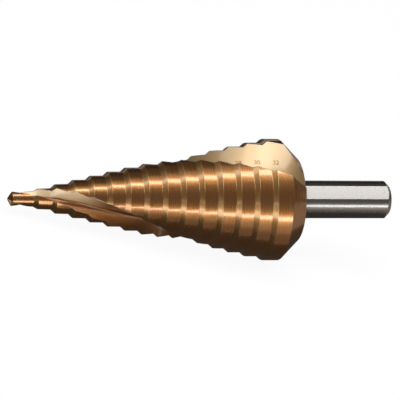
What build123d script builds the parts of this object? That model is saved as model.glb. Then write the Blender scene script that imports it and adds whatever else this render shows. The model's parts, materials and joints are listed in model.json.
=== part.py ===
from build123d import *
import os
from math import atan2, ceil, cos, degrees, log, radians, sin, sqrt, tan

# Step drill, 4 to 32 mm in 2 mm steps, ground from one bar of high speed steel.

# ---------------------------------------------------------------- driving dimensions, mm and degrees
STEP_COUNT = 15
FIRST_DIAMETER = 4.0
DIAMETER_STEP = 2.0
STEP_PITCH = 4.5  # from one step's front edge to the next
FIRST_STEP_FRONT = 7.6  # from the tip to the front edge of the second step
FRONT_CONE_ANGLE = 41.0  # each step's leading cone, measured from the axis
LAST_STEP_LENGTH = 3.9
BACK_CONE_ANGLE = 45.0
BACK_FACE_DIAMETER = 22.5
POINT_ANGLE = 118.0
POINT_CLEARANCE = 0.3  # how far each flank's cone stands off the axis

FLUTE_COUNT = 2
HELIX_ANGLE = 21.4  # held constant up the cone of steps
FLUTE_ANGLE = 82.0  # between the rake face and the heel wall
FLUTE_ANGLE_TIP = 100.0  # the same at the point, where the flute opens for the lip
CORE_RADIUS_TIP = 0.3
CORE_RADIUS_RIM = 10.0
CORE_GROWTH = 1.3  # exponent of the core's growth towards the largest step
FLUTE_END_DEPTH = 0.8  # what is left of the flute where it runs out
ROOT_ROUNDING = 0.18  # fillet at the flute's root as a share of its depth
LAND_RELIEF = 0.46  # drop of each land from its cutting edge to its heel
PILOT_RELIEF = 0.06  # the same on the first step

SHANK_DIAMETER = 9.9  # a nominal 10 mm shank, ground a little under size
SHANK_LENGTH = 25.2
SHANK_CHAMFER = 1.2
CHAMFER_CROWN = 0.03  # how far the chamfer stands out, because it is turned slightly convex
FLAT_COUNT = 3
FLAT_DISTANCE = 4.6  # from the axis to each flat
FLAT_PHASE = 4.2  # angle from the last step's cutting edge to the first flat

# the drill lies across a flute: on two cutting edges and on the heel of the largest step
REST_EDGE_STEPS = (10, 11)
REST_HEEL_STEP = STEP_COUNT - 1

MOST_TWIST = 9.0  # between two sections of the fluted body
RUNOUT_SECTION_COUNT = 4  # sections along the back cone, where the flutes end

# ---------------------------------------------------------------- derived sizes
STEP_RISE = DIAMETER_STEP / 2
RAMP = STEP_RISE / tan(radians(FRONT_CONE_ANGLE))
LAST_RADIUS = FIRST_DIAMETER / 2 + (STEP_COUNT - 1) * STEP_RISE
BACK_RADIUS = BACK_FACE_DIAMETER / 2
LAST_FRONT = FIRST_STEP_FRONT + (STEP_COUNT - 2) * STEP_PITCH
RIM = LAST_FRONT + LAST_STEP_LENGTH
BACK = RIM + (LAST_RADIUS - BACK_RADIUS) / tan(radians(BACK_CONE_ANGLE))
LAND_PITCH = 360 / FLUTE_COUNT


def step_radius(index):
    """Radius at the cutting edge of step 0, 1, 2 and so on."""
    return FIRST_DIAMETER / 2 + index * STEP_RISE


def step_front(index):
    """Where the cylinder of a step begins, measured from the tip."""
    return FIRST_STEP_FRONT + (index - 1) * STEP_PITCH if index else 0.0


def envelope(z):
    """Radius of the cone that touches the front edges of the steps."""
    return step_radius(1) + (z - FIRST_STEP_FRONT) * STEP_RISE / STEP_PITCH


def twist(z):
    """Angle of the cutting edge: a constant helix angle up the cone, and a constant lead on the first step."""
    slope = tan(radians(HELIX_ANGLE))
    cone = slope * STEP_PITCH / STEP_RISE * log(envelope(max(z, FIRST_STEP_FRONT)) / LAST_RADIUS)
    pilot = slope / step_radius(1) * min(z - FIRST_STEP_FRONT, 0)
    return degrees(cone + pilot)


def core_radius(z):
    """Radius of the flute's root, which grows up to the rim and then levels out."""
    if z <= RIM:
        return CORE_RADIUS_TIP + (CORE_RADIUS_RIM - CORE_RADIUS_TIP) * (z / RIM) ** CORE_GROWTH
    end = BACK_RADIUS - FLUTE_END_DEPTH
    return CORE_RADIUS_RIM + (end - CORE_RADIUS_RIM) * (z - RIM) / (BACK - RIM)


def flute_angle(z):
    """Opening angle of the flute, which is wider on the first step."""
    share = max(0, 1 - z / FIRST_STEP_FRONT)
    return FLUTE_ANGLE + (FLUTE_ANGLE_TIP - FLUTE_ANGLE) * share


def stations():
    """Heights, radii and reliefs of the sections, close enough together for the twist."""
    corners = []
    for index in range(STEP_COUNT):
        rear = step_front(index + 1) - RAMP if index < STEP_COUNT - 1 else RIM
        relief = LAND_RELIEF if index else PILOT_RELIEF
        corners += [(step_front(index), step_radius(index), relief), (rear, step_radius(index), relief)]
    corners.append((BACK, BACK_RADIUS, LAND_RELIEF))
    rows = [corners[0]]
    for low, high in zip(corners, corners[1:]):
        spans = ceil(abs(twist(high[0]) - twist(low[0])) / MOST_TWIST)
        if high is corners[-1]:
            spans = RUNOUT_SECTION_COUNT
        for span in range(1, spans + 1):
            share = span / spans
            rows.append(tuple(a + (b - a) * share for a, b in zip(low, high)))
    return rows


def polar(radius, angle):
    return (radius * cos(radians(angle)), radius * sin(radians(angle)))


def heel_point(radius, relief, z):
    """Radius and angle of the heel, measured across the flute from the rake face."""
    heel_radius = radius - relief
    core = core_radius(z)
    lean = cos(radians(flute_angle(z)))
    wall = sqrt((core * lean) ** 2 + heel_radius**2 - core**2) - core * lean
    return heel_radius, degrees(atan2(wall * sin(radians(flute_angle(z))), core + wall * lean))


def section(radius, relief, z):
    """One cross-section: each land with its relief, then a heel wall, rounded root and rake face."""
    heel_radius, heel_angle = heel_point(radius, relief, z)
    core = core_radius(z)
    opening = flute_angle(z)
    land = LAND_PITCH - heel_angle
    rounding = ROOT_ROUNDING * (radius - core)
    reach = rounding / tan(radians(opening / 2))
    clear = rounding / sin(radians(opening / 2)) - rounding
    for flute in range(FLUTE_COUNT):
        start = twist(z) + flute * LAND_PITCH
        rake = start + LAND_PITCH
        root = Vector(*polar(core, rake))
        heel = polar(heel_radius, start + land)
        wall_end = root + Vector(*polar(reach, rake - opening))
        root_middle = root + Vector(*polar(clear, rake - opening / 2))
        rake_end = root + Vector(*polar(reach, rake))
        ThreePointArc(polar(radius, start), polar(radius - relief / 2, start + land / 2), heel)
        Line(heel, wall_end)
        ThreePointArc(wall_end, root_middle, rake_end)
        Line(rake_end, polar(radius, rake))


def edge_corner(index):
    """The corner of the second cutting edge at a step's front edge."""
    height = step_front(index)
    return Vector(*polar(step_radius(index), twist(height) + 180), height)


def heel_corner(index):
    """The corner of the first land's heel at a step's front edge."""
    height = step_front(index)
    heel_radius, heel_angle = heel_point(step_radius(index), LAND_RELIEF, height)
    return Vector(*polar(heel_radius, twist(height) + LAND_PITCH - heel_angle), height)


# the point: one relieved cone behind each lip, and the waste that grinding it takes away
lip_angle = twist(0)
point_reach = 0.75 * FIRST_DIAMETER
flank_slope = tan(radians(POINT_ANGLE / 2))
flank_depth = point_reach / flank_slope + POINT_CLEARANCE
with BuildPart() as flank:
    with Locations(Vector(*polar(POINT_CLEARANCE, lip_angle - 90), -POINT_CLEARANCE / flank_slope)):
        Cone(0, 2 * flank_depth * flank_slope, 2 * flank_depth, align=(Align.CENTER, Align.CENTER, Align.MIN))
    split(bisect_by=Plane(origin=(0, 0, 0), z_dir=Vector(*polar(1, lip_angle + 90))), keep=Keep.TOP)

with BuildPart() as point_waste:
    with Locations((0, 0, -FIRST_DIAMETER)):
        Cylinder(point_reach, flank_depth + FIRST_DIAMETER, align=(Align.CENTER, Align.CENTER, Align.MIN))
    with PolarLocations(0, FLUTE_COUNT):
        add(flank.part, mode=Mode.SUBTRACT)

# the whole drill, standing on its point along +Z
with BuildPart() as upright:
    # shank: turned with a chamfered end, then ground with three flats for the chuck's jaws
    with BuildSketch(Plane.XZ):
        with BuildLine():
            shank_radius = SHANK_DIAMETER / 2
            shank_end = BACK + SHANK_LENGTH
            chamfer_start = Vector(shank_radius, shank_end - SHANK_CHAMFER)
            chamfer_end = Vector(shank_radius - SHANK_CHAMFER, shank_end)
            outwards = Vector(1, 1).normalized() * CHAMFER_CROWN
            ThreePointArc(chamfer_start, (chamfer_start + chamfer_end) / 2 + outwards, chamfer_end)
            Polyline(chamfer_end, (0, shank_end), (0, BACK), (shank_radius, BACK), chamfer_start)
        make_face()
    revolve(axis=Axis.Z)
    with BuildSketch(Plane.XY.offset(BACK)):
        Circle(SHANK_DIAMETER)
        RegularPolygon(
            FLAT_DISTANCE,
            FLAT_COUNT,
            major_radius=False,
            rotation=FLAT_PHASE + 180 / FLAT_COUNT,
            mode=Mode.SUBTRACT,
        )
    extrude(amount=SHANK_LENGTH, mode=Mode.SUBTRACT)
    # fluted body: one loft through the sections, from the point to the back face
    for height, radius, relief in stations():
        with BuildSketch(Plane.XY.offset(height)):
            with BuildLine():
                section(radius, relief, height)
            make_face()
    loft(ruled=True, clean=False)
    add(point_waste.part, mode=Mode.SUBTRACT, clean=False)

# laid down on the plane through the three corners that it rests on, point towards -X
first_edge, second_edge = (edge_corner(index) for index in REST_EDGE_STEPS)
heel = heel_corner(REST_HEEL_STEP)
up = (second_edge - first_edge).cross(heel - first_edge).normalized()
if up.dot(first_edge) > 0:
    up = -up
rest = Plane(origin=first_edge, x_dir=Vector(0, 0, 1), z_dir=up)
lying = rest.to_local_coords(upright.part)
box = lying.bounding_box()
with BuildPart() as step_drill:
    with Locations((-box.center().X, -box.center().Y, -box.min.Z)):
        add(lying, clean=False)

step_drill.part.label = "step_drill"
os.makedirs("parts", exist_ok=True)
export_step(step_drill.part, "parts/step_drill.step")
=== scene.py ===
"""Step drill: the stepped cone, the shank and the size marks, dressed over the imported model."""
import json
from math import acos, cos, e, pi, radians, sin, tan
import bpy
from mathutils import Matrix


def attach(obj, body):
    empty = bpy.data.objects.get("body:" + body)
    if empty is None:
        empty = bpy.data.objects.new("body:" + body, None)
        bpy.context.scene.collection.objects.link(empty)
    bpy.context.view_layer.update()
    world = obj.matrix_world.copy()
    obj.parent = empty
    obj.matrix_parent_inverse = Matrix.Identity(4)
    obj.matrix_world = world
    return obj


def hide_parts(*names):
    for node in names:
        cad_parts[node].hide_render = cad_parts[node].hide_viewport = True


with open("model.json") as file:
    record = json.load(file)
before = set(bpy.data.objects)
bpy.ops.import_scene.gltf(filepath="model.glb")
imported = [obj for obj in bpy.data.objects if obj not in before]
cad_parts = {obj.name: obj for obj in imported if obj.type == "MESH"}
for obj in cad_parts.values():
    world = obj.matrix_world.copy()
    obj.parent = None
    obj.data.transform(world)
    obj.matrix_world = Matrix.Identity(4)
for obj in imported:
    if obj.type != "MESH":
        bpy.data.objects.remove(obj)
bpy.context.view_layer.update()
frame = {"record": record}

from types import SimpleNamespace

import bpy
from bpy.props import FloatProperty, FloatVectorProperty, IntProperty, PointerProperty
from mathutils import Matrix, Vector

bl_info = {
    "name": "Step drill",
    "version": (1, 0, 0),
    "blender": (4, 5, 0),
    "location": "3D View > Sidebar > Step drill",
    "description": "Makes a coated step drill with helical flutes, its shank and its size marks",
    "category": "Object",
}

MM = 0.001
IMAGE_SIDE = 400

mounts = {mount["name"]: mount for mount in frame["record"]["mounts"]}
SHANK_END = Vector(mounts["shank_end"]["pos_m"])
AXIS = Vector(mounts["shank_end"]["axis"]).normalized()
FIRST_FLAT = Vector(mounts["jaw_flat_1"]["axis"]).normalized()


# ---- sizes, finishes and the studio


def length(name, description, default):
    """A length in metres, given here in millimetres."""
    return FloatProperty(
        name=name, description=description, default=default * MM, min=0, precision=5, unit="LENGTH"
    )


def angle(name, description, default):
    """An angle in radians, given here in degrees."""
    default = radians(default)
    return FloatProperty(name=name, description=description, default=default, unit="ROTATION")


def share(name, description, default, most=1.0):
    """A plain number that isn't below 0."""
    return FloatProperty(name=name, description=description, default=default, min=0, max=most)


def colour(name, description, default):
    """A colour: red, green and blue in linear light."""
    return FloatVectorProperty(
        name=name, description=description, default=default, min=0, max=1, size=3, subtype="COLOR"
    )


class ConeSizes(bpy.types.PropertyGroup):
    """The steps, from the point to the back cone."""

    step_count: IntProperty(name="Steps", description="Steps on the cone", default=15, min=2)
    first_diameter: length("First diameter", "Diameter of the smallest step", 4.0)
    diameter_step: length("Diameter step", "How much each step grows", 2.0)
    step_pitch: length("Pitch", "From one step's front edge to the next", 4.5)
    first_step_front: length("Second step", "From the tip to the second step's front edge", 7.6)
    front_cone_angle: angle("Front cone", "Each step's leading cone, measured from the axis", 41)
    last_step_length: length("Last step", "Length of the largest step", 3.9)
    back_cone_angle: angle("Back cone", "The cone behind the largest step", 45)
    back_face_diameter: length("Back face", "Diameter where the back cone ends", 22.5)
    point_angle: angle("Point", "Full angle of the point", 118)
    point_clearance: length("Point clearance", "How far each flank's cone stands off the axis", 0.3)
    edge_rounding: length("Edge rounding", "Width over which a step's corners are rounded", 0.09)


class FluteSizes(bpy.types.PropertyGroup):
    """The flutes and the lands between them."""

    flute_count: IntProperty(name="Flutes", description="Flutes around the cone", default=2, min=2)
    helix_angle: angle("Helix", "Helix angle, held constant up the cone", 21.4)
    flute_angle: angle("Flute angle", "Between the rake face and the heel wall", 82)
    flute_angle_tip: angle("Flute angle at the point", "The same where it opens for the lip", 100)
    core_radius_tip: length("Core at the tip", "Radius of the flute's root at the tip", 0.3)
    core_radius_rim: length("Core at the rim", "Radius of the flute's root at the last step", 10.0)
    core_growth: share("Core growth", "Exponent of the core's growth", 1.3, most=3.0)
    flute_end_depth: length("Flute end", "Depth that is left where the flute runs out", 0.8)
    root_rounding: share("Root rounding", "Fillet at the root: share of the flute's depth", 0.18)
    land_relief: length("Land relief", "Drop of a land from its edge to its heel", 0.46)
    pilot_relief: length("Pilot relief", "The same on the first step", 0.06)
    edge_bevel: length("Edge bevel", "Width of the dulled cutting edge", 0.03)
    heel_bevel: length("Heel bevel", "Width of the dulled heel", 0.1)


class ShankSizes(bpy.types.PropertyGroup):
    """The shank and its flats."""

    diameter: length("Diameter", "Diameter of the round shank", 9.9)
    shank_length: length("Length", "From the back face to the end", 25.2)
    chamfer: length("Chamfer", "Chamfer at the end", 1.2)
    flat_count: IntProperty(name="Flats", description="Flats for a chuck's jaws", default=3, min=1)
    flat_distance: length("Flat distance", "From the axis to each flat", 4.6)
    flat_phase: angle("Flat phase", "From the last step's cutting edge to the first flat", 4.2)
    edge_rounding: length("Edge rounding", "Rounding along the flats and the chamfer", 0.05)


class MarkSizes(bpy.types.PropertyGroup):
    """The size marks in the flutes."""

    height: length("Height", "Height of the figures", 1.6)
    depth: length("Thickness", "Thickness of the etched figures", 0.02)
    reach: share("Place", "Place across the heel wall, from the heel towards the root", 0.52)
    unmarked: IntProperty(
        name="Unmarked steps", description="Steps too small for a figure", default=5, min=1
    )


class Finishes(bpy.types.PropertyGroup):
    """Colours of the coating and of the bare steel."""

    coating: colour("Coating", "Gold coating on the leading cones", (0.85, 0.50, 0.16))
    # painted shade: the redder, darker coating that the lands take stands for their dark reflection
    coating_deep_shade: colour("Coating, deep", "Redder coating on the ground lands", (0.84, 0.35, 0.09))
    # painted shade: the darker coating of each flute's root and rake face
    coating_flute_shade: colour("Coating, dull", "Darker, for the root and rake face", (0.55, 0.24, 0.09))
    # painted highlight: the paler coating of the heel walls
    coating_wall_highlight: colour("Coating, pale", "Paler coating on the heel walls", (0.95, 0.72, 0.42))
    steel: colour("Steel", "Bare ground steel", (0.57, 0.56, 0.55))
    steel_tint: colour("Heat tint", "Faint blue at the end of the coating", (0.30, 0.34, 0.42))
    ink: colour("Marks", "Etched size marks", (0.02, 0.015, 0.01))
    coating_roughness: share("Coating roughness", "Roughness of the coating", 0.28)
    steel_roughness: share("Steel roughness", "Roughness of the shank", 0.24)
    floor: colour("Floor", "Pale floor", (0.92, 0.92, 0.92))


class StudioSizes(bpy.types.PropertyGroup):
    """The camera and the panels of light around the drill."""

    tilt: angle("Tilt", "How far the point leans towards the camera", 14.41)
    slope: angle("Slope", "How far the axis slopes in the picture", 0.15)
    roll: angle("Roll", "From the last step's cutting edge to the side that faces the camera", 27.4)
    distance: length("Distance", "From the camera to the drill", 605.2)
    axis_point: length("Axis point", "The point of the axis that the picture is set out from", 50.0)
    scale: FloatProperty(name="Scale", description="Pixels to a millimetre", default=3.9223)
    across: FloatProperty(name="Across", description="Pixels to it from the left", default=201.05)
    down: FloatProperty(name="Down", description="Pixels to it from the top", default=199.36)
    tent_radius: length("Tent radius", "From the drill to the panels", 500.0)


GROUPS = {
    "drill_cone": ConeSizes,
    "drill_flutes": FluteSizes,
    "drill_shank": ShankSizes,
    "drill_marks": MarkSizes,
    "drill_finishes": Finishes,
    "drill_studio": StudioSizes,
}


# ---- expressions on nodes


class Term:
    """A node's output that can stand in a sum: an expression on terms adds its Math nodes."""

    def __init__(self, graph, socket):
        self.graph = graph
        self.socket = socket

    def math(self, operation, *others):
        return self.graph.term("ShaderNodeMath", {"operation": operation}, self, *others)

    def __add__(self, other):
        return self.math("ADD", other)

    __radd__ = __add__

    def __sub__(self, other):
        return self.math("SUBTRACT", other)

    def __rsub__(self, other):
        return self.graph.term("ShaderNodeMath", {"operation": "SUBTRACT"}, other, self)

    def __mul__(self, other):
        return self.math("MULTIPLY", other)

    __rmul__ = __mul__

    def __truediv__(self, other):
        return self.math("DIVIDE", other)

    def __rtruediv__(self, other):
        return self.graph.term("ShaderNodeMath", {"operation": "DIVIDE"}, other, self)

    def __pow__(self, other):
        return self.math("POWER", other)

    def __lt__(self, other):
        return self.math("LESS_THAN", other)

    def __gt__(self, other):
        return self.math("GREATER_THAN", other)

    def sin(self):
        return self.math("SINE")

    def cos(self):
        return self.math("COSINE")

    def tan(self):
        return self.math("TANGENT")

    def sqrt(self):
        return self.math("SQRT")

    def floor(self):
        return self.math("FLOOR")

    def least(self, other):
        return self.math("MINIMUM", other)

    def most(self, other):
        return self.math("MAXIMUM", other)

    def clamp(self):
        return self.most(0.0).least(1.0)


class Graph:
    """A node tree, with one method that adds any node."""

    def __init__(self, tree):
        self.tree = tree

    def feed(self, socket, value):
        """Links a term or an output to a socket, or sets the socket to a value."""
        if isinstance(value, Term):
            value = value.socket
        if isinstance(value, bpy.types.NodeSocket):
            self.tree.links.new(value, socket)
        else:
            socket.default_value = value

    def node(self, kind, settings=None, *values, **named):
        """Adds a node: its settings first, then its sockets in order, then those given by name."""
        made = self.tree.nodes.new(kind)
        for name, value in (settings or {}).items():
            setattr(made, name, value)
        open_sockets = [socket for socket in made.inputs if socket.enabled]
        for socket, value in zip(open_sockets, values):
            self.feed(socket, value)
        for name, value in named.items():
            self.feed(made.inputs[name.replace("_", " ")], value)
        return made

    def term(self, kind, settings=None, *values, **named):
        """Adds a node and gives its first output as a term."""
        made = self.node(kind, settings, *values, **named)
        return Term(self, next(socket for socket in made.outputs if socket.enabled))

    def split(self, vector):
        """A vector's three parts."""
        parts = self.node("ShaderNodeSeparateXYZ", None, vector)
        return [Term(self, socket) for socket in parts.outputs]

    def join(self, x, y, z=0.0):
        return self.term("ShaderNodeCombineXYZ", None, x, y, z)


def emptied(holder):
    """The emptied node tree of a material or a world."""
    holder.use_nodes = True
    holder.node_tree.nodes.clear()
    return holder.node_tree


def linked(name, data):
    """A new object in the scene."""
    made = bpy.data.objects.new(name, data)
    bpy.context.scene.collection.objects.link(made)
    return made


class GeometryGraph(Graph):
    """A Geometry Nodes tree with named inputs, which a modifier sets by their identifiers."""

    def __init__(self, name):
        super().__init__(bpy.data.node_groups.new(name, "GeometryNodeTree"))
        self.values = {}
        face = self.tree.interface
        face.new_socket(name="Geometry", in_out="INPUT", socket_type="NodeSocketGeometry")
        face.new_socket(name="Geometry", in_out="OUTPUT", socket_type="NodeSocketGeometry")
        self.start = self.node("NodeGroupInput")
        self.end = self.node("NodeGroupOutput")

    def size(self, name, value):
        """A named input of the tree, and the value that the modifier gives it."""
        kind = "NodeSocketInt" if isinstance(value, int) else "NodeSocketFloat"
        made = self.tree.interface.new_socket(name=name, in_out="INPUT", socket_type=kind)
        made.default_value = value
        self.values[made.identifier] = value
        return Term(self, self.start.outputs[name])

    def sizes(self, group, *names):
        """Named inputs for the fields of a property group."""
        fields = type(group).bl_rna.properties
        return [self.size(fields[name].name, getattr(group, name)) for name in names]

    @property
    def geometry(self):
        return self.start.outputs["Geometry"]

    def position(self):
        """A vertex's own place: its X, Y and Z."""
        return self.split(self.term("GeometryNodeInputPosition"))

    def finish(self, geometry, material):
        """Ends the tree: instances made real, then the material."""
        real = self.node("GeometryNodeRealizeInstances", None, geometry)
        dressed = self.node("GeometryNodeSetMaterial", None, real.outputs[0], Material=material)
        self.feed(self.end.inputs["Geometry"], dressed.outputs[0])

    def set_places(self, geometry, position):
        """Puts every vertex at a position that is worked out for it."""
        moved = self.node("GeometryNodeSetPosition", None, geometry, Position=position)
        return moved.outputs[0]

    def weld(self, geometry):
        """Joins the vertices that share a place, which closes the ends."""
        return self.node("GeometryNodeMergeByDistance", None, geometry, Distance=WELD).outputs[0]

    def bake(self, name, mesh, place):
        """Runs the tree on a mesh and keeps the result as a plain mesh object, put in its place."""
        carrier = linked(name + ".grid", mesh)
        modifier = carrier.modifiers.new("Shape", "NODES")
        modifier.node_group = self.tree
        for identifier, value in self.values.items():
            modifier[identifier] = value
        carrier.update_tag()
        bpy.context.view_layer.update()
        depsgraph = bpy.context.evaluated_depsgraph_get()
        made = bpy.data.meshes.new_from_object(
            carrier.evaluated_get(depsgraph), preserve_all_data_layers=True, depsgraph=depsgraph
        )
        carrier.modifiers.clear()
        bpy.data.objects.remove(carrier)
        made.transform(place)
        return linked(name, made)


# ---- shapes


def drill_place(scene):
    """Where the drill lies, for shapes that have the tip at the origin and the axis along Z."""
    total = back_end(scene.drill_cone) + scene.drill_shank.shank_length
    zero = Matrix.Rotation(-scene.drill_shank.flat_phase, 3, AXIS) @ FIRST_FLAT
    zero = (zero - AXIS * zero.dot(AXIS)).normalized()
    turned = Matrix((zero, AXIS.cross(zero), AXIS)).transposed().to_4x4()
    return Matrix.Translation(SHANK_END - AXIS * total) @ turned


def ramp_length(cone):
    """Length of a leading cone along the axis."""
    return cone.diameter_step / 2 / tan(cone.front_cone_angle)


def step_front(cone, index):
    """Height of the front edge of step 1, 2 and so on."""
    return cone.first_step_front + (index - 1) * cone.step_pitch


def rim_end(cone):
    return step_front(cone, cone.step_count - 1) + cone.last_step_length


def last_radius(cone):
    return (cone.first_diameter + (cone.step_count - 1) * cone.diameter_step) / 2


def back_end(cone):
    drop = last_radius(cone) - cone.back_face_diameter / 2
    return rim_end(cone) + drop / tan(cone.back_cone_angle)


def even(low, high, count):
    """Numbers between two others, without the ends."""
    return [low + (high - low) * step / count for step in range(1, count)]


def spaced(place, span, steps):
    """Numbers that stand off a place by several multiples of a span."""
    return [place + span * step for step in steps]


CAP_SPAN = 1.0  # the rows of an end cap span this many metres
WELD = 0.4e-6  # vertices closer than this are one
SUNK = 0.5 * MM  # how far the shank starts inside the back face
POINT_ROWS = 0.5  # height that the point's rows are spread over, as a share of its diameter
FLUTE_SHIFT = 1.0  # keeps the figures of different flutes apart before they are laid on the wall
LEAST_COSINE = 0.3  # keeps a flat's plane from running away where the shank is round

# the spans between rows, and between columns, in each stretch
ROWS = SimpleNamespace(pilot=16, leading_cone=3, land=9, back_cone=14, shank=24, chamfer=12)
COLUMNS = SimpleNamespace(land=44, heel_wall=14, root=10, rake_face=12, flat=16, round=30)
# rows and columns that stand close together: multiples of a rounding, of a bevel or of CAP_SPAN
CORNER_STEPS = (-1.6, -0.8, -0.3, 0.3, 0.8, 1.6)
FLAT_STEPS = (-2, -1, -0.3, 0.3, 1, 2)
EDGE_STEPS = (0.5, 2.0)
HEEL_STEPS = (0.5, 1.5)
TIP_CAP = (1.0, 0.75, 0.5, 0.25, 0.08, 0.02, 0.0)
BACK_CAP = (0.0, 0.004, 0.02, 0.25, 0.5, 0.75, 1.0)
SHANK_CAP = (0.0, 0.01, 0.05, 0.3, 0.6, 1.0)


def cone_rows(cone):
    """Heights of the rows of the cone. Those below 0 and past the back face close its ends."""
    rounding = cone.edge_rounding
    reach = CORNER_STEPS[-1] * rounding
    ramp, rim, back = ramp_length(cone), rim_end(cone), back_end(cone)
    rows = spaced(0.0, -CAP_SPAN, TIP_CAP)
    rows += even(0.0, step_front(cone, 1) - ramp - 2 * rounding, ROWS.pilot)
    for index in range(1, cone.step_count):
        front = step_front(cone, index)
        foot = front - ramp
        rear = front + cone.step_pitch - ramp if index < cone.step_count - 1 else rim
        rows += spaced(foot, rounding, CORNER_STEPS)
        rows += even(foot + reach, front - reach, ROWS.leading_cone)
        rows += spaced(front, rounding, CORNER_STEPS)
        rows += even(front + reach, rear - reach, ROWS.land)
    rows += spaced(rim, rounding, CORNER_STEPS)
    rows += even(rim + reach, back - reach, ROWS.back_cone)
    rows += [back - reach, back - rounding / 2]
    rows += spaced(back, CAP_SPAN, BACK_CAP)
    return rows


SEGMENTS = 4  # of a land and a flute: land, heel wall, root, rake face
STORED = ("sharp", "land", "heel_wall", "root_and_rake")  # for the coating
NEARLY_ONE = 0.99999  # where a segment ends, because a whole number would start the next one


def plain_columns(places):
    """Columns with no distance from an end of their segment."""
    return [(place, 0.0) for place in places]


def columns_before(place, bevel, steps):
    """Columns close before an edge."""
    return [(place - 1 + NEARLY_ONE, -bevel * step) for step in reversed(steps)]


def columns_behind(place, bevel, steps):
    """Columns close behind an edge."""
    return [(place, bevel * step) for step in steps]


def cone_columns(flutes):
    """Places around a section: a segment with its share, and a distance from its nearer end."""
    edge, heel = flutes.edge_bevel, flutes.heel_bevel
    columns = []
    for flute in range(flutes.flute_count):
        land, wall, root, rake, end = range(flute * SEGMENTS, (flute + 1) * SEGMENTS + 1)
        columns += columns_behind(land, edge, EDGE_STEPS)
        columns += plain_columns(even(land, wall, COLUMNS.land))
        columns += columns_before(wall, heel, HEEL_STEPS) + columns_behind(wall, heel, HEEL_STEPS)
        columns += plain_columns(even(wall, root, COLUMNS.heel_wall))
        columns += plain_columns([root, *even(root, rake, COLUMNS.root), rake])
        columns += plain_columns(even(rake, end, COLUMNS.rake_face))
        columns += columns_before(end, edge, EDGE_STEPS)
    return columns


def closed_grid(name, columns, rows):
    """A flat grid with a vertex for each column and row, whose last column joins its first."""
    made = bpy.data.meshes.new(name)
    points = [(place, row, offset) for row in rows for place, offset in columns]
    width = len(columns)
    faces = []
    for base in range(0, width * (len(rows) - 1), width):
        top = base + width
        for left in range(width):
            right = (left + 1) % width
            faces.append((base + left, base + right, top + right, top + left))
    made.from_pydata(points, [], faces)
    made.shade_smooth()
    return made


def rounded_step(value, width):
    """A number held between 0 and 1, with its two corners rounded."""
    return value.math("SMOOTH_MIN", 1.0, width).math("SMOOTH_MAX", 0.0, width)


def shared_sizes(graph, cone, flutes):
    """The tree's inputs that both the cone and its marks need, and what follows from them."""
    names = (
        "step_count", "first_diameter", "diameter_step", "step_pitch", "first_step_front",
        "front_cone_angle", "last_step_length", "back_cone_angle", "back_face_diameter",
    )
    flute_names = (
        "flute_count", "helix_angle", "flute_angle", "flute_angle_tip", "core_radius_tip",
        "core_radius_rim", "core_growth", "flute_end_depth", "land_relief",
    )
    values = dict(zip(names, graph.sizes(cone, *names)))
    values.update(zip(flute_names, graph.sizes(flutes, *flute_names)))
    size = SimpleNamespace(**values)
    size.rise = size.diameter_step / 2
    size.ramp = size.rise / size.front_cone_angle.tan()
    size.second_radius = size.first_diameter / 2 + size.rise
    size.last_index = size.step_count - 1
    size.largest = size.first_diameter / 2 + size.last_index * size.rise
    size.back_radius = size.back_face_diameter / 2
    last_front = size.first_step_front + (size.last_index - 1) * size.step_pitch
    size.rim = last_front + size.last_step_length
    drop = size.largest - size.back_radius
    size.back = size.rim + drop / size.back_cone_angle.tan()
    size.land_pitch = 2 * pi / size.flute_count
    return size


def flute_at(size, height, heel_radius):
    """The flute's core, its opening and the length of its heel wall at a height."""
    growth = size.core_radius_rim - size.core_radius_tip
    rise = (height.least(size.rim) / size.rim) ** size.core_growth
    core = size.core_radius_tip + growth * rise
    # past the rim the core keeps its rate of growth at first, and eases into the run-out
    past = ((height - size.rim) / (size.back - size.rim)).most(0.0)
    grown = size.back_radius - size.flute_end_depth - size.core_radius_rim
    steady = size.core_growth * growth * (size.back / size.rim - 1)
    core = core + grown * past + (steady - grown) * past * (1 - past)
    widening = (1 - height / size.first_step_front).most(0.0)
    opening = size.flute_angle + (size.flute_angle_tip - size.flute_angle) * widening
    lean = core * opening.cos()
    wall = (lean * lean + heel_radius * heel_radius - core * core).sqrt() - lean
    return core, opening, wall


def envelope_at(size, height):
    """Radius of the cone that touches the front edges of the steps."""
    past = height.most(size.first_step_front) - size.first_step_front
    return size.second_radius + past * (size.rise / size.step_pitch)


def twist_at(size, height):
    """Angle of a cutting edge: a constant helix angle, and a constant lead on the first step."""
    slope = size.helix_angle.tan()
    cone = (envelope_at(size, height) / size.largest).math("LOGARITHM", e)
    pilot = slope / size.second_radius * (height - size.first_step_front).least(0.0)
    return slope * size.step_pitch / size.rise * cone + pilot


def polar(radius, angle):
    return radius * angle.cos(), radius * angle.sin()


def beyond(point, distance, angle):
    """A point at a distance from another, in the direction of an angle."""
    x, y = polar(distance, angle)
    return point[0] + x, point[1] + y


def turned(graph, x, y, turn, height):
    """A point of a section, turned about the axis and put at its height."""
    turned_x = x * turn.cos() - y * turn.sin()
    return graph.join(turned_x, x * turn.sin() + y * turn.cos(), height)


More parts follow.
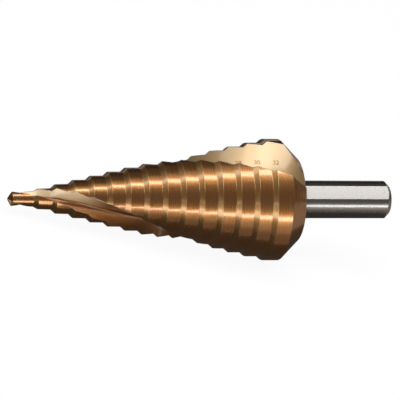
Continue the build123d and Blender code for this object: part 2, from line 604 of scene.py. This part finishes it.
def cone_tree(cone, flutes, material):
    """The rule of the stepped cone: where each row and column of the grid lies."""
    graph = GeometryGraph("Stepped cone")
    size = shared_sizes(graph, cone, flutes)
    point_angle, clearance, rounding = graph.sizes(
        cone, "point_angle", "point_clearance", "edge_rounding"
    )
    root_rounding, pilot_relief = graph.sizes(flutes, "root_rounding", "pilot_relief")
    place, row, offset = graph.position()
    height = row.most(0.0).least(size.back)
    shrink = (1 + row.least(0.0) / CAP_SPAN) * (1 - (row - size.back).most(0.0) / CAP_SPAN)

    # which step a row belongs to, and how far up its leading cone it is
    plateau = size.step_pitch - size.ramp
    before = height - size.first_step_front + size.ramp
    step = (((before + plateau / 2) / size.step_pitch).floor() + 1).most(0.0).least(size.last_index)
    climb = (before - (step - 1) * size.step_pitch) / size.ramp
    climbed = (step - 1 + rounded_step(climb, rounding / size.rise)).most(0.0)
    back_length = size.back - size.rim
    fall = ((height - size.rim) / back_length).math("SMOOTH_MAX", 0.0, rounding / back_length)
    radius = size.first_diameter / 2 + climbed * size.rise
    radius = radius - (size.largest - size.back_radius) * fall
    relief = pilot_relief + (size.land_relief - pilot_relief) * climbed.least(1.0)

    core, opening, wall = flute_at(size, height, radius - relief)
    heel_angle = (wall * opening.sin()).math("ARCTAN2", core + wall * opening.cos())
    land = size.land_pitch - heel_angle
    rake = size.land_pitch
    wall_angle = rake - opening
    root = root_rounding * (radius - core)
    reach = root / (opening / 2).tan()

    # the four segments of a section, from a cutting edge round to the next
    flute = (place / SEGMENTS).floor()
    local = place - flute * SEGMENTS
    segment = local.floor()
    along = local - segment
    land_turn = land * ((along + offset / (radius * land)) - 0.5)
    land_radius = radius - relief / 2 - relief / 2 * land_turn.sin() / (land / 2).sin()
    land_angle = land / 2 + land_turn
    wall_length = wall - reach
    wall_place = wall - wall_length * (along + offset / wall_length)
    root_turn = wall_angle - pi / 2 - along * (pi - opening)
    root_centre = root / (opening / 2).sin()
    bisector = rake - opening / 2
    rake_length = radius - core - reach
    rake_place = core + reach + rake_length * (along + offset / rake_length)
    corner = polar(core, rake)
    points = (
        polar(land_radius, land_angle),
        beyond(corner, wall_place, wall_angle),
        beyond(beyond(corner, root_centre, bisector), root, root_turn),
        polar(rake_place, rake),
    )
    x, y = choose(graph, segment, points)
    x, y = x * shrink, y * shrink

    # the point: behind each lip the land is ground away to a cone that stands off the axis
    slope = (point_angle / 2).tan()
    apart = y + clearance
    flank = (x * x + apart * apart).sqrt() / slope - clearance / slope
    ground = size.first_diameter * POINT_ROWS
    at_point = height < ground
    lifted = flank + height * (1 - flank / ground)
    height = lifted * at_point + height * (1 - at_point)

    # stored for the coating: 1 close to an edge, and 1 on each kind of segment
    sharp, heel_wall = offset.math("ABSOLUTE") > 0.0, (segment > 0.5) * (segment < 1.5)
    kept = graph.geometry
    settings = {"data_type": "FLOAT", "domain": "POINT"}
    for name, value in zip(STORED, (sharp, segment < 0.5, heel_wall, segment > 1.5)):
        store = graph.node(
            "GeometryNodeStoreNamedAttribute", settings, kept, Name=name, Value=value
        )
        kept = store.outputs[0]
    turn = twist_at(size, height) + flute * size.land_pitch
    moved = graph.set_places(kept, turned(graph, x, y, turn, height))
    graph.finish(graph.weld(moved), material)
    return graph


def choose(graph, segment, points):
    """The point of the segment that a column belongs to."""
    switch = graph.node("GeometryNodeIndexSwitch", {"data_type": "VECTOR"})
    while len(switch.index_switch_items) < len(points):
        switch.index_switch_items.new()
    graph.feed(switch.inputs["Index"], segment)
    for index, (x, y) in enumerate(points):
        graph.feed(switch.inputs[index + 1], graph.join(x, y))
    return graph.split(switch.outputs[0])[:2]


def shank_columns(shank):
    """Angles around the shank, close together over the edges of the flats."""
    half = acos(shank.flat_distance * 2 / shank.diameter)
    pitch = 2 * pi / shank.flat_count
    soft = shank.edge_rounding * 2 / shank.diameter
    reach = FLAT_STEPS[-1] * soft
    columns = []
    for flat in range(shank.flat_count):
        middle = shank.flat_phase + flat * pitch
        flat_end, next_flat = middle + half, middle + pitch - half
        columns += even(middle - half + reach, flat_end - reach, COLUMNS.flat)
        columns += spaced(flat_end, soft, FLAT_STEPS)
        columns += even(flat_end + reach, next_flat - reach, COLUMNS.round)
        columns += spaced(next_flat, soft, FLAT_STEPS)
    return plain_columns(columns)


def shank_rows(cone, shank):
    """Heights of the shank's rows. Those outside its length close its ends."""
    start = back_end(cone) - SUNK
    end = back_end(cone) + shank.shank_length
    rounding = shank.edge_rounding
    chamfer = end - shank.chamfer
    reach = FLAT_STEPS[-1] * rounding
    rows = [start - CAP_SPAN, start]
    rows += even(start, chamfer - reach, ROWS.shank)
    rows += spaced(chamfer, rounding, FLAT_STEPS)
    rows += even(chamfer + reach, end - rounding, ROWS.chamfer)
    rows += [end - rounding, end - rounding / 3]
    rows += spaced(end, CAP_SPAN, SHANK_CAP)
    return rows


def shank_tree(cone, shank, material):
    """The rule of the shank: a round bar with flats, a chamfer and two closed ends."""
    graph = GeometryGraph("Shank")
    diameter, shank_length, chamfer, count, distance, phase, rounding = graph.sizes(
        shank, "diameter", "shank_length", "chamfer", "flat_count", "flat_distance", "flat_phase",
        "edge_rounding",
    )
    back = graph.size("Back face", back_end(cone))
    place, row, _ = graph.position()
    start, end = back - SUNK, back + shank_length
    height = row.most(start).least(end)
    shrink = (1 - (start - row).most(0.0) / CAP_SPAN) * (1 - (row - end).most(0.0) / CAP_SPAN)
    pitch = 2 * pi / count
    from_flat = place - phase + pitch / 2
    from_flat = from_flat - pitch * (from_flat / pitch).floor() - pitch / 2
    cut = (height - end + chamfer).math("SMOOTH_MAX", 0.0, rounding)
    turned_radius = diameter / 2 - cut
    flat_radius = distance / from_flat.cos().most(LEAST_COSINE)
    radius = turned_radius.math("SMOOTH_MIN", flat_radius, rounding / 2) * shrink
    position = graph.join(*polar(radius, place), height)
    graph.finish(graph.weld(graph.set_places(graph.geometry, position)), material)
    return graph


def marks_tree(cone, flutes, marks, material):
    """The rule of the size marks: a figure for each larger step, laid on each heel wall."""
    graph = GeometryGraph("Size marks")
    size = shared_sizes(graph, cone, flutes)
    figure_height, depth, reach, unmarked = graph.sizes(
        marks, "height", "depth", "reach", "unmarked"
    )
    marked = size.step_count - unmarked
    first = graph.node("GeometryNodeRepeatInput")
    last = graph.node("GeometryNodeRepeatOutput")
    first.pair_with_output(last)
    graph.feed(first.inputs["Iterations"], marked * size.flute_count)
    index = Term(graph, first.outputs["Iteration"])
    flute = (index / marked).floor()
    step = index - flute * marked + unmarked
    number = (size.first_diameter + step * size.diameter_step) / MM
    text = graph.term("FunctionNodeValueToString", None, number)
    centred = {"align_x": "CENTER", "align_y": "MIDDLE"}
    figures = graph.node("GeometryNodeStringToCurves", centred, text, Size=figure_height)
    filled = graph.node("GeometryNodeFillCurve", None, figures.outputs[0])
    real = graph.node("GeometryNodeRealizeInstances", None, filled.outputs[0])
    thick = graph.node(
        "GeometryNodeExtrudeMesh", None, real.outputs[0], Offset_Scale=depth, Individual=False
    )
    # a figure is carried along X to its step, and along Y by a whole shift to its flute
    land_middle = (size.step_pitch - size.ramp) / 2
    middle = size.first_step_front + (step - 1) * size.step_pitch + land_middle
    carried = graph.join(middle, flute * FLUTE_SHIFT)
    placed = graph.node("GeometryNodeTransform", None, thick.outputs[0], Translation=carried)
    joined = graph.node("GeometryNodeJoinGeometry")
    for geometry in (placed.outputs[0], first.outputs["Geometry"]):
        graph.feed(joined.inputs[0], geometry)
    graph.feed(last.inputs["Geometry"], joined.outputs[0])

    # then it is laid on the heel wall: X becomes its height and Y its place across
    height, across, lift = graph.position()
    flute = (across / FLUTE_SHIFT + 0.5).floor()
    across = across - flute * FLUTE_SHIFT
    core, opening, wall = flute_at(size, height, envelope_at(size, height) - size.land_relief)
    rake = size.land_pitch
    wall_angle = rake - opening
    wall_place = wall * (1 - reach) + across
    x, y = beyond(polar(core, rake), wall_place, wall_angle)
    x, y = x - lift * wall_angle.sin(), y + lift * wall_angle.cos()
    turn = twist_at(size, height) + flute * size.land_pitch
    moved = graph.set_places(last.outputs["Geometry"], turned(graph, x, y, turn, height))
    graph.finish(moved, material)
    return graph


# ---- materials


class ShaderGraph(Graph):
    """A material's node tree, with its Principled shader."""

    def __init__(self, name, **constants):
        self.material = bpy.data.materials.new(name)
        super().__init__(emptied(self.material))
        self.shader = self.node("ShaderNodeBsdfPrincipled", None, **constants)
        self.output = self.node("ShaderNodeOutputMaterial", None, Surface=self.shader.outputs[0])

    def finish(self, **links):
        """Feeds the shader's sockets, and gives the material."""
        for name, value in links.items():
            self.feed(self.shader.inputs[name.replace("_", " ")], value)
        return self.material

    def mix(self, factor, first, second):
        """A colour between two others."""
        settings = {"data_type": "RGBA"}
        return self.term("ShaderNodeMix", settings, factor, paint(first), paint(second))

    def noise(self, vector, scale, detail=3.0):
        return self.term("ShaderNodeTexNoise", None, vector, Scale=scale, Detail=detail)

    def dot(self, vector, direction):
        return self.term("ShaderNodeVectorMath", {"operation": "DOT_PRODUCT"}, vector, direction[:])


def paint(value):
    """A colour with its alpha, or a term as it is."""
    return value if isinstance(value, Term) else (*value, 1.0)


def drill_coordinates(graph, place):
    """Distances from the tip along the drill's own three directions, in millimetres."""
    world = graph.node("ShaderNodeTexCoord").outputs["Object"]
    tip = place.translation
    from_tip = graph.term("ShaderNodeVectorMath", {"operation": "SUBTRACT"}, world, tip[:])
    return [graph.dot(from_tip, axis / MM) for axis in place.to_3x3().col]


def attribute(graph, name):
    """A number that the mesh stores."""
    return Term(graph, graph.node("ShaderNodeAttribute", {"attribute_name": name}).outputs["Fac"])


# the patterns: lengths in millimetres, scales in cycles to a millimetre, and shares of a colour,
# of the metal or of the roughness
LINES = SimpleNamespace(stretch=0.05, detail=4.0, relief=0.02)
# among these, the shares for the lands and the dull share for the flutes paint shade, and those for
# the heel walls paint a highlight
COATING = SimpleNamespace(
    line_scale=9.0, line_roughness=0.08, line_bump=0.02,
    cloud_scale=0.22, cloud_detail=2.0, cloud_contrast=0.8,
    deep_shade_on_cones=0.4, deep_shade_added_on_lands=0.5, step_contrast=8.0,
    highlight_on_walls=0.55, highlight_added_near_point=0.45, dull=0.8, bare_edge=0.2, flute_roughness=0.08,
    satin_end=25.0, satin_fade=8.0, satin_roughness=0.1, satin_scatter=0.85,
)
STEEL = SimpleNamespace(line_scale=7.0, line_roughness=0.12, line_bump=0.05, tint_end=2.6, tint=0.6)
INK = SimpleNamespace(patch_scale=3.0, contrast=1.4, threshold=0.3)
BACK_MARGIN = 0.2  # the last land's look goes on to this far short of where a next step would start


def round_lines(graph, x, y, z, scale):
    """Fine lines round the drill, as grinding and turning leave them."""
    stretched = graph.join(x * LINES.stretch, y * LINES.stretch, z * scale)
    return graph.noise(stretched, 1.0, LINES.detail)


def line_bump(graph, lines, strength):
    """The slight relief of the fine lines."""
    relief = LINES.relief * MM
    return graph.term("ShaderNodeBump", None, Strength=strength, Distance=relief, Height=lines)


def behind_leading_cone(cone, z):
    """0 on the leading cones and 1 behind them, at a height in millimetres."""
    pitch, ramp = cone.step_pitch / MM, ramp_length(cone) / MM
    foot = (cone.first_step_front - ramp_length(cone)) / MM
    last = foot + (cone.step_count - 1) * pitch - BACK_MARGIN
    steps = (z.least(last) - foot) / pitch
    climb = (steps - steps.floor()) * pitch
    return ((climb - ramp) * COATING.step_contrast).clamp()


def coated_steel(cone, finishes, place):
    """Ground steel with a gold coating and fine grinding lines, with painted shade that makes the
    ground lands redder and darker and the root and rake face darker, and a painted highlight that
    makes the heel walls paler.
    """
    graph = ShaderGraph("gold_coating", Coat_Weight=1.0, Coat_IOR=2.0, Coat_Roughness=0.1)
    x, y, z = drill_coordinates(graph, place)
    lines = round_lines(graph, x, y, z, COATING.line_scale)
    cloud = graph.noise(graph.join(x, y, z), COATING.cloud_scale, COATING.cloud_detail)
    sharp, land, heel_wall, root_and_rake = (attribute(graph, name) for name in STORED)
    level = behind_leading_cone(cone, z)
    # painted shade: the outer surface takes a redder, darker coating, most of all on the lands
    # behind each leading cone, for its dark reflection; the cloud's random tone is the coating's
    # own
    deep_shade = land * (level * COATING.deep_shade_added_on_lands + COATING.deep_shade_on_cones)
    deep_shade = (deep_shade + (cloud - 0.5) * COATING.cloud_contrast).clamp()
    tone = graph.mix(deep_shade, finishes.coating, finishes.coating_deep_shade)
    # painted highlight: the heel walls are paler, and paler still near the point, where they are
    # also so coarsely ground that they scatter light
    satin_and_highlight = heel_wall * ((COATING.satin_end - z) / COATING.satin_fade).clamp()
    pale = (heel_wall * COATING.highlight_on_walls + satin_and_highlight * COATING.highlight_added_near_point).clamp()
    tone = graph.mix(pale, tone, finishes.coating_wall_highlight)
    # painted shade: the root and rake face of each flute are darker
    tone = graph.mix(root_and_rake * COATING.dull, tone, finishes.coating_flute_shade)
    tone = graph.mix(sharp * COATING.bare_edge, tone, finishes.steel)
    roughness = finishes.coating_roughness + (lines - 0.5) * COATING.line_roughness
    roughness = roughness + (1 - land) * COATING.flute_roughness + satin_and_highlight * COATING.satin_roughness
    return graph.finish(
        Base_Color=tone,
        Metallic=1 - satin_and_highlight * COATING.satin_scatter,
        Roughness=roughness,
        Normal=line_bump(graph, lines, COATING.line_bump),
    )


def bare_steel(finishes, place, back):
    """The shank: bare ground steel with turning lines, faintly blued where the coating ends."""
    graph = ShaderGraph("bare_steel", Metallic=1.0)
    x, y, z = drill_coordinates(graph, place)
    lines = round_lines(graph, x, y, z, STEEL.line_scale)
    near_back = (STEEL.tint_end - (z - back / MM)).clamp()
    return graph.finish(
        Base_Color=graph.mix(near_back * STEEL.tint, finishes.steel, finishes.steel_tint),
        Roughness=finishes.steel_roughness + (lines - 0.5) * STEEL.line_roughness,
        Normal=line_bump(graph, lines, STEEL.line_bump),
    )


def etched(finishes, place):
    """The dark, dull figures beside the steps."""
    graph = ShaderGraph("etched_marks", Roughness=0.6)
    x, y, z = drill_coordinates(graph, place)
    patches = graph.noise(graph.join(x, y, z), INK.patch_scale)
    worn = (patches * INK.contrast - INK.threshold).clamp()
    # worn patches show the lands' redder coating, whose tone is painted shade
    return graph.finish(Base_Color=graph.mix(worn, finishes.ink, finishes.coating_deep_shade))


# ---- the studio


WHITE = (1.0, 1.0, 1.0)
DARK_TONE = (1.0, 0.87, 0.75)  # of the panels that aren't lit
DARK_LIMIT = 0.5  # a panel weaker than this isn't lit
WORLD_LEVEL = 0.35  # strength of the background where it only lights
FLOOR_WHITE = 0.94  # how far the floor that is seen is plain white
FLOOR_HALF = 3.0  # half of the floor's side, in metres
LAMP = SimpleNamespace(size=(1.2, 0.8), power=12.0, place=(0.0, -0.25, 1.0), lean=(-0.25, 0.0, 0.0))
SENSOR_WIDTH = 36.0  # millimetres, as the lens
CLIP = (0.01, 20.0)  # nearest and farthest that the camera sees, in metres


def looks_back(graph):
    """1 for the rays that see the white background: from the camera, and off or through a gloss."""
    rays = graph.node("ShaderNodeLightPath").outputs
    kinds = ("Camera", "Glossy", "Transmission")
    camera, gloss, through = (Term(graph, rays[f"Is {kind} Ray"]) for kind in kinds)
    return camera.most(gloss).most(through)


def make_world():
    """A white background, which is dimmer where it only lights."""
    world = bpy.context.scene.world = bpy.data.worlds.new("studio")
    graph = Graph(emptied(world))
    strength = WORLD_LEVEL + looks_back(graph) * (1 - WORLD_LEVEL)
    ground = graph.node("ShaderNodeBackground", None, Color=paint(WHITE), Strength=strength)
    graph.node("ShaderNodeOutputWorld", None, Surface=ground.outputs[0])


def rectangle(left, front, right, back, height):
    """Corners of a level rectangle."""
    return [
        (left, front, height), (right, front, height), (right, back, height), (left, back, height),
    ]


def one_face(name, corners, material):
    """An object with a single face."""
    mesh = bpy.data.meshes.new(name)
    mesh.from_pydata(corners, [], [tuple(range(len(corners)))])
    mesh.materials.append(material)
    return linked(name, mesh)


def make_floor(finishes):
    """A pale floor that the camera sees as white, apart from the drill's shadow."""
    graph = ShaderGraph("pale_floor", Roughness=0.9)
    graph.finish(Base_Color=paint(finishes.floor))
    white = graph.node("ShaderNodeEmission", None, Color=paint(WHITE), Strength=1.0)
    factor = looks_back(graph) * FLOOR_WHITE
    shaders = (graph.shader.outputs[0], white.outputs[0])
    mixed = graph.node("ShaderNodeMixShader", None, factor, *shaders)
    graph.feed(graph.output.inputs["Surface"], mixed.outputs[0])
    corners = rectangle(-FLOOR_HALF, -FLOOR_HALF, FLOOR_HALF, FLOOR_HALF, 0)
    floor = one_face("floor", corners, graph.material)


def glow(name, strength, tone):
    """A panel's material: plain light."""
    material = bpy.data.materials.new(name)
    graph = Graph(emptied(material))
    light = graph.node("ShaderNodeEmission", None, Color=paint(tone), Strength=strength)
    graph.node("ShaderNodeOutputMaterial", None, Surface=light.outputs[0])
    return material


def make_panel(name, corners, strength):
    """A flat panel that only gloss reflects, unseen by the camera and without a shadow."""
    tone = DARK_TONE if strength < DARK_LIMIT else WHITE
    panel = one_face(name, corners, glow(name, strength, tone))
    panel.visible_camera = panel.visible_shadow = panel.visible_diffuse = False


# the tent: stretches by their height in degrees above the near horizon, and the brightness of each
# one's left end, left part, middle, middle right, right part and right end
TENT = (
    ("low", -2, 2, (0.1, 0.2, 2.2, 2.2, 0.08, 0.1)),
    ("near", 2, 52, (0.1, 0.1, 0.1, 0.05, 0.06, 0.1)),
    ("shoulder", 52, 68, (0.1, 1.6, 0.14, 0.1, 0.4, 0.2)),
    ("brow", 68, 79, (0.12, 2.0, 0.42, 0.1, 0.4, 0.1)),
    ("overhead", 79, 89, (0.12, 1.4, 3.0, 0.15, 0.4, 0.1)),
    ("behind", 89, 108, (0.3, 0.7, 0.3, 0.05, 1.5, 0.1)),
    ("far", 108, 123, (1.6, 0.2, 0.06, 0.05, 0.5, 0.1)),
    ("farther", 123, 145, (0.15, 0.2, 0.06, 0.05, 0.5, 0.1)),
    ("edge", 145, 176, (0.05, 0.05, 0.02, 0.02, 0.1, 0.05)),
    ("back", 176, 184, (0.1, 0.5, 0.5, 0.5, 0.5, 0.1)),
)
# parts of a stretch: where each starts and ends along the drill, in tent radii
PARTS = (
    ("left", -1.2, -0.4), ("middle", -0.4, 0.44), ("middle_right", 0.44, 0.9), ("right", 0.9, 2.0),
)
# sheets flat on the floor: left, front, right and back edge and height in metres, and brightness
SHEETS = (
    ("strip", -0.2, -0.5, 1.0, -0.13, 0.002, 3.4),
    ("card", -0.058, -0.06, -0.024, -0.024, 0.0006, 1.6),
    ("card_tip", -0.058, -0.024, -0.036, -0.012, 0.0006, 1.6),
    ("mat_tip", -0.2, -0.06, -0.03, -0.010, 0.0004, 0.15),
    ("mat_left", -0.6, -0.13, -0.2, 0.5, 0.0004, 0.12),
    ("mat_corner", -0.2, -0.13, -0.03, -0.06, 0.0004, 0.15),
    ("mat", -0.03, -0.13, 1.0, -0.036, 0.0004, 0.3),
    ("mat_near", -0.03, -0.036, 1.0, -0.022, 0.0004, 0.13),
    ("underlay", -0.03, -0.022, 0.06, 0.5, 0.0002, 0.045),
    ("underlay_tip", -0.09, -0.01, -0.03, 0.5, 0.0002, 0.045),
    ("underlay_left", -0.2, -0.032, -0.09, 0.5, 0.0002, 0.1),
    ("underlay_back", 0.06, -0.022, 1.0, 0.5, 0.0002, 0.22),
)


def make_tent(studio):
    """Long panels beside and over the drill, one across each end of a stretch, and the sheets."""
    radius = studio.tent_radius
    for name, low, high, (left_end, *strengths, right_end) in TENT:
        lower, upper = (
            (-radius * cos(radians(turn)), radius * sin(radians(turn))) for turn in (low, high)
        )
        for (side, start, end), strength in zip(PARTS, strengths):
            left, right = start * radius, end * radius
            corners = [(left, *lower), (right, *lower), (right, *upper), (left, *upper)]
            make_panel(f"{name}_{side}", corners, strength)
        ends = (("left", PARTS[0][1], left_end), ("right", PARTS[-1][2], right_end))
        for side, place, strength in ends:
            across = place * radius
            corners = [(across, 0.0, 0.0), (across, *lower), (across, *upper)]
            make_panel(f"{name}_{side}_end", corners, strength)
    for name, *edges_and_height, strength in SHEETS:
        make_panel(name, rectangle(*edges_and_height), strength)


def make_lamp():
    """Soft overhead light, which gives the drill its faint shadow."""
    data = bpy.data.lights.new("overhead", "AREA")
    data.shape = "RECTANGLE"
    data.size, data.size_y = LAMP.size
    data.energy = LAMP.power
    lamp = linked("overhead", data)
    lamp.location = LAMP.place
    lamp.rotation_euler = LAMP.lean
    lamp.visible_glossy = lamp.visible_camera = False


def make_camera(studio, place):
    """A camera that is set by where one point of the axis lies in the picture."""
    zero, quarter, along = place.to_3x3().col
    facing = zero * cos(studio.roll) + quarter * sin(studio.roll)
    over = zero * sin(studio.roll) - quarter * cos(studio.roll)
    # the same three directions as the camera sees them, whose own are right, down and away
    level = cos(studio.tilt)
    seen_along = Vector((level * cos(studio.slope), level * sin(studio.slope), sin(studio.tilt)))
    away = Vector((0.0, 0.0, 1.0))
    seen_facing = (seen_along * away.dot(seen_along) - away).normalized()
    seen_over = seen_facing.cross(seen_along)
    world = Matrix((along, facing, over)).transposed()
    seen = Matrix((seen_along, seen_facing, seen_over)).transposed()
    turn = world @ seen.transposed()
    pixels = studio.scale / MM
    middle = IMAGE_SIDE / 2
    point = Vector(
        ((studio.across - middle) / pixels, (studio.down - middle) / pixels, studio.distance)
    )
    target = place.translation + along * studio.axis_point
    data = bpy.data.cameras.new("camera")
    data.sensor_width = SENSOR_WIDTH
    data.lens = pixels * studio.distance * data.sensor_width / IMAGE_SIDE
    data.clip_start, data.clip_end = CLIP
    camera = linked("camera", data)
    axes = Matrix((turn.col[0], -turn.col[1], -turn.col[2])).transposed().to_4x4()
    camera.matrix_world = Matrix.Translation(target - turn @ point) @ axes
    bpy.context.scene.camera = camera


# ---- operators


def hand_over(piece):
    """Tells the frame a piece's body and the CAD piece that it replaces."""
    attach(piece, "root")
    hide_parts("step_drill")


class DRILL_OT_stepped_cone(bpy.types.Operator):
    """Makes the fluted, stepped cone with its point"""

    bl_idname = "drill.stepped_cone"
    bl_label = "Stepped cone"

    def execute(self, context):
        scene = context.scene
        cone, flutes = scene.drill_cone, scene.drill_flutes
        place = drill_place(scene)
        material = coated_steel(cone, scene.drill_finishes, place)
        grid = closed_grid("stepped_cone", cone_columns(flutes), cone_rows(cone))
        hand_over(cone_tree(cone, flutes, material).bake("stepped_cone", grid, place))
        return {"FINISHED"}


class DRILL_OT_shank(bpy.types.Operator):
    """Makes the round shank with its flats and chamfer"""

    bl_idname = "drill.shank"
    bl_label = "Shank"

    def execute(self, context):
        scene = context.scene
        cone, shank = scene.drill_cone, scene.drill_shank
        place = drill_place(scene)
        material = bare_steel(scene.drill_finishes, place, back_end(cone))
        grid = closed_grid("shank", shank_columns(shank), shank_rows(cone, shank))
        hand_over(shank_tree(cone, shank, material).bake("shank", grid, place))
        return {"FINISHED"}


class DRILL_OT_size_marks(bpy.types.Operator):
    """Makes the size marks of the larger steps, on the walls of the flutes"""

    bl_idname = "drill.size_marks"
    bl_label = "Size marks"

    def execute(self, context):
        scene = context.scene
        place = drill_place(scene)
        material = etched(scene.drill_finishes, place)
        graph = marks_tree(scene.drill_cone, scene.drill_flutes, scene.drill_marks, material)
        hand_over(graph.bake("size_marks", bpy.data.meshes.new("size_marks"), place))
        return {"FINISHED"}


class DRILL_OT_studio(bpy.types.Operator):
    """Makes the floor, the light and the camera"""

    bl_idname = "drill.studio"
    bl_label = "Studio"

    def execute(self, context):
        scene = context.scene
        scene.view_settings.view_transform = "Standard"
        make_world()
        make_floor(scene.drill_finishes)
        make_tent(scene.drill_studio)
        make_lamp()
        make_camera(scene.drill_studio, drill_place(scene))
        return {"FINISHED"}


OPERATORS = (DRILL_OT_stepped_cone, DRILL_OT_shank, DRILL_OT_size_marks, DRILL_OT_studio)


class DRILL_PT_panel(bpy.types.Panel):
    """The drill's pieces and their sizes, in the sidebar"""

    bl_idname = "DRILL_PT_panel"
    bl_label = "Step drill"
    bl_space_type = "VIEW_3D"
    bl_region_type = "UI"
    bl_category = "Step drill"

    def draw(self, context):
        for operator in OPERATORS:
            self.layout.operator(operator.bl_idname)
        for group, kind in GROUPS.items():
            box = self.layout.box()
            for name in kind.__annotations__:
                box.prop(getattr(context.scene, group), name)


def register():
    for group, kind in GROUPS.items():
        bpy.utils.register_class(kind)
        setattr(bpy.types.Scene, group, PointerProperty(type=kind))
    for kind in (*OPERATORS, DRILL_PT_panel):
        bpy.utils.register_class(kind)


def unregister():
    for kind in (DRILL_PT_panel, *reversed(OPERATORS)):
        bpy.utils.unregister_class(kind)
    for group, kind in GROUPS.items():
        delattr(bpy.types.Scene, group)
        bpy.utils.unregister_class(kind)


def main():
    register()
    bpy.ops.drill.stepped_cone()
    bpy.ops.drill.shank()
    bpy.ops.drill.size_marks()
    bpy.ops.drill.studio()


if __name__ == "__main__":
    main()
